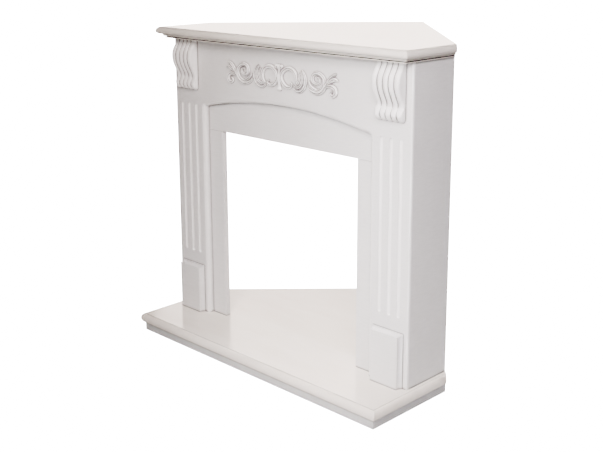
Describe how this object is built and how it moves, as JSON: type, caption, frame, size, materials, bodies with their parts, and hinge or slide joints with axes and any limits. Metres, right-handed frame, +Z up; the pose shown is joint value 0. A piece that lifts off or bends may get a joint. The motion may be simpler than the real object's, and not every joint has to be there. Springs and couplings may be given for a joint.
{
  "type": "fireplace mantelpiece",
  "caption": "White painted corner fireplace surround with its own hearth: arched front, fluted legs, reeded corbels, a scrolled frieze and a moulded shelf cut to fit two walls.",
  "frame": {"origin": "on the floor under the middle of the upright front board, on the line of its front face", "axes": "+X runs across the front to a viewer's right, +Y runs back into the corner of the room, +Z is up"},
  "size_m": [1.022, 0.825, 0.9945],
  "materials": {
    "white_paint": "satin white paint on board",
    "carved_white": "satin white paint on carved work",
    "gloss_cream": "glossy warm white lacquer on board",
    "shaded_paint": "satin white paint on the base board"
  },
  "bodies": {
    "root": {"plinth": "shaded_paint", "hearth_slab": "gloss_cream", "facade": "white_paint", "side_panel_left": "white_paint", "side_panel_right": "white_paint", "inner_header": "white_paint", "inner_stile_left": "white_paint", "inner_stile_right": "white_paint", "base_block_left": "white_paint", "base_block_right": "white_paint", "corbel_left": "carved_white", "corbel_right": "carved_white", "mantel_shelf": "gloss_cream", "frieze_centre": "carved_white", "frieze_scroll_left": "carved_white", "frieze_scroll_right": "carved_white"}
  },
  "joints": []
}
